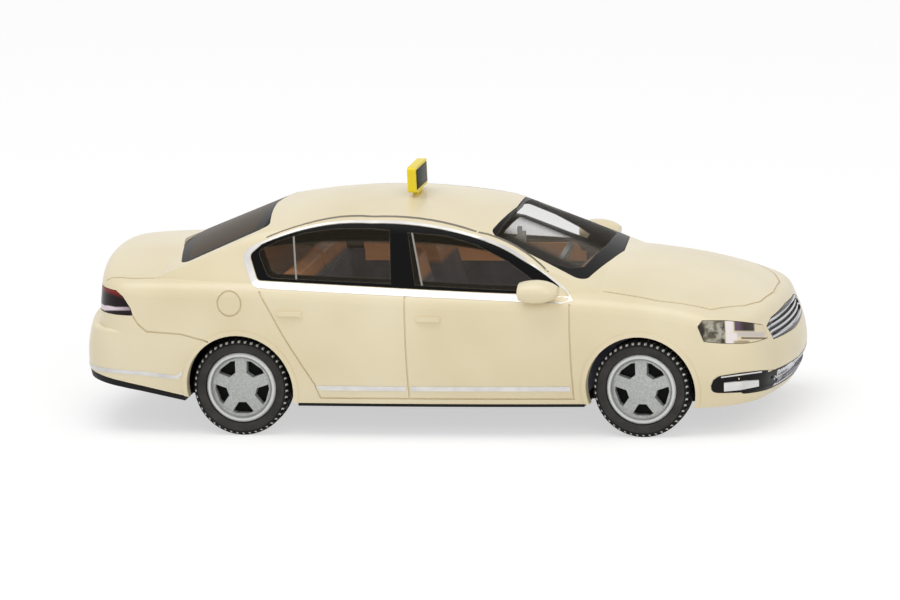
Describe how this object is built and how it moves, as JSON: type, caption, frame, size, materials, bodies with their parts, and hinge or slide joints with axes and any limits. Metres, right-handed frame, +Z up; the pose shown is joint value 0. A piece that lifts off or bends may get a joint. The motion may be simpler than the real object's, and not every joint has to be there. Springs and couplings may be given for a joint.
{
  "type": "small-scale model taxi cab",
  "caption": "Small collector's model of a four-door saloon taxi: hollow shell, clear glazing, interior, chassis plate, free-rolling wheels and a blank roof sign.",
  "frame": {"origin": "on the ground, midway along and across the model", "axes": "+X to the car's front, +Y to its left, +Z up"},
  "size_m": [0.0548, 0.0236, 0.0192],
  "materials": {
    "body_plastic": "gloss, light ivory",
    "clear_plastic": "clear moulding",
    "interior_plastic": "matt grey",
    "chassis_plastic": "satin black",
    "axle_steel": "plain steel pin",
    "grille_bright": "bright foil",
    "sign_plastic": "yellow",
    "lamp_clear": "clear lens",
    "lamp_red": "clear red",
    "rim_plastic": "silver",
    "tyre_rubber": "matt black"
  },
  "bodies": {
    "body": {"body_shell": "body_plastic", "mirror_left": "body_plastic", "mirror_right": "body_plastic", "glazing": "clear_plastic", "interior_tub": "interior_plastic", "steering_wheel": "interior_plastic", "rear_view_mirror": "interior_plastic", "chassis_plate": "chassis_plastic", "lower_grille": "chassis_plastic", "radiator_grille": "grille_bright", "roof_sign": "sign_plastic", "headlamp_left": "lamp_clear", "headlamp_right": "lamp_clear", "tail_lamp_left": "lamp_red", "tail_lamp_right": "lamp_red"},
    "front_wheels": {"front_axle": "axle_steel", "wheel_front_left": "rim_plastic", "wheel_front_right": "rim_plastic", "tyre_front_left": "tyre_rubber", "tyre_front_right": "tyre_rubber"},
    "rear_wheels": {"rear_axle": "axle_steel", "wheel_rear_left": "rim_plastic", "wheel_rear_right": "rim_plastic", "tyre_rear_left": "tyre_rubber", "tyre_rear_right": "tyre_rubber"}
  },
  "joints": [
    {"name": "front_axle_spin", "type": "hinge", "parent": "body", "child": "front_wheels", "pos_m": [0.01715, 0, 0.00372], "axis": [0, 1, 0], "continuous": true},
    {"name": "rear_axle_spin", "type": "hinge", "parent": "body", "child": "rear_wheels", "pos_m": [-0.01405, 0, 0.00372], "axis": [0, 1, 0], "continuous": true}
  ]
}
